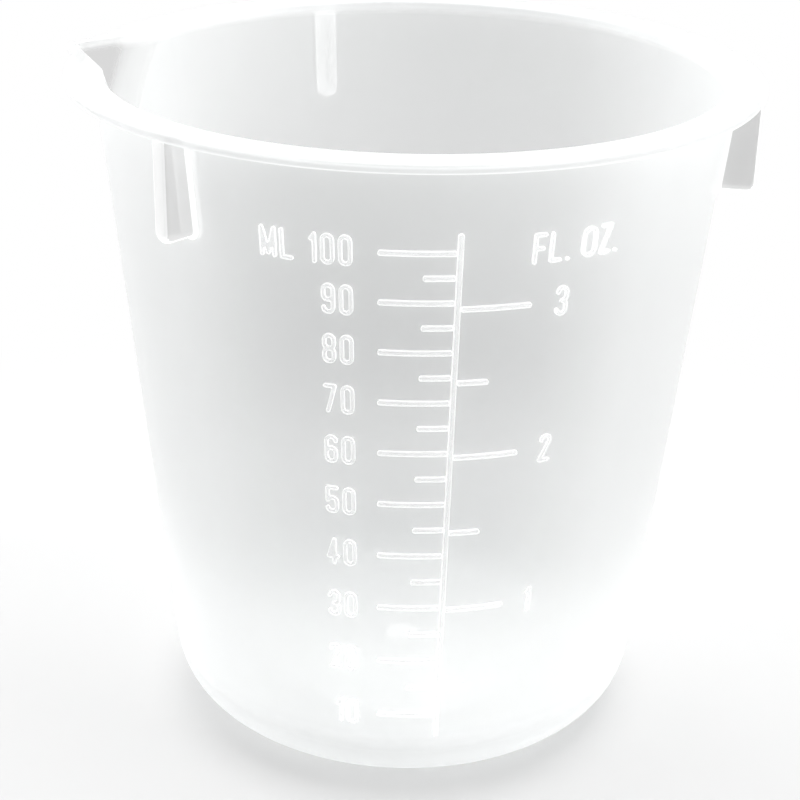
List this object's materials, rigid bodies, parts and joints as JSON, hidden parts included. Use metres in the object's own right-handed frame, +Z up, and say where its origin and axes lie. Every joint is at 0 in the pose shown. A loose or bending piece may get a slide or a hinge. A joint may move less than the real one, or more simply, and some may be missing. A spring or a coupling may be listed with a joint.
{
  "type": "graduated mixing cup",
  "caption": "Tapered translucent mixing cup with a V-shaped pouring spout, an out-turned rim, stacking ribs, a rounded base and raised millilitre and ounce scales.",
  "frame": {"origin": "on the cup's axis, in the plane of the foot that it stands on", "axes": "+Z up along the cup's axis, the scale's upright rail faces -Y, and the spout points 161.5 degrees round from +X"},
  "size_m": [0.0632, 0.0632, 0.0634],
  "materials": {
    "natural_polypropylene": "smooth, milky translucent"
  },
  "bodies": {
    "root": {"cup_wall": "natural_polypropylene", "rim_flange": "natural_polypropylene", "pour_spout": "natural_polypropylene", "base_corner": "natural_polypropylene", "floor_step": "natural_polypropylene", "floor_panel": "natural_polypropylene", "gate_mark": "natural_polypropylene", "rib_opposite_spout": "natural_polypropylene", "rib_left_of_spout": "natural_polypropylene", "rib_right_of_spout": "natural_polypropylene", "scale_rail": "natural_polypropylene", "ml_long_marks": "natural_polypropylene", "ml_short_marks": "natural_polypropylene", "oz_long_marks": "natural_polypropylene", "oz_half_marks": "natural_polypropylene", "numeral_100": "natural_polypropylene", "numeral_90": "natural_polypropylene", "numeral_80": "natural_polypropylene", "numeral_70": "natural_polypropylene", "numeral_60": "natural_polypropylene", "numeral_50": "natural_polypropylene", "numeral_40": "natural_polypropylene", "numeral_30": "natural_polypropylene", "numeral_20": "natural_polypropylene", "numeral_10": "natural_polypropylene", "oz_numeral_3": "natural_polypropylene", "oz_numeral_2": "natural_polypropylene", "oz_numeral_1": "natural_polypropylene", "unit_ml": "natural_polypropylene", "unit_fl": "natural_polypropylene", "unit_oz": "natural_polypropylene"}
  },
  "joints": []
}
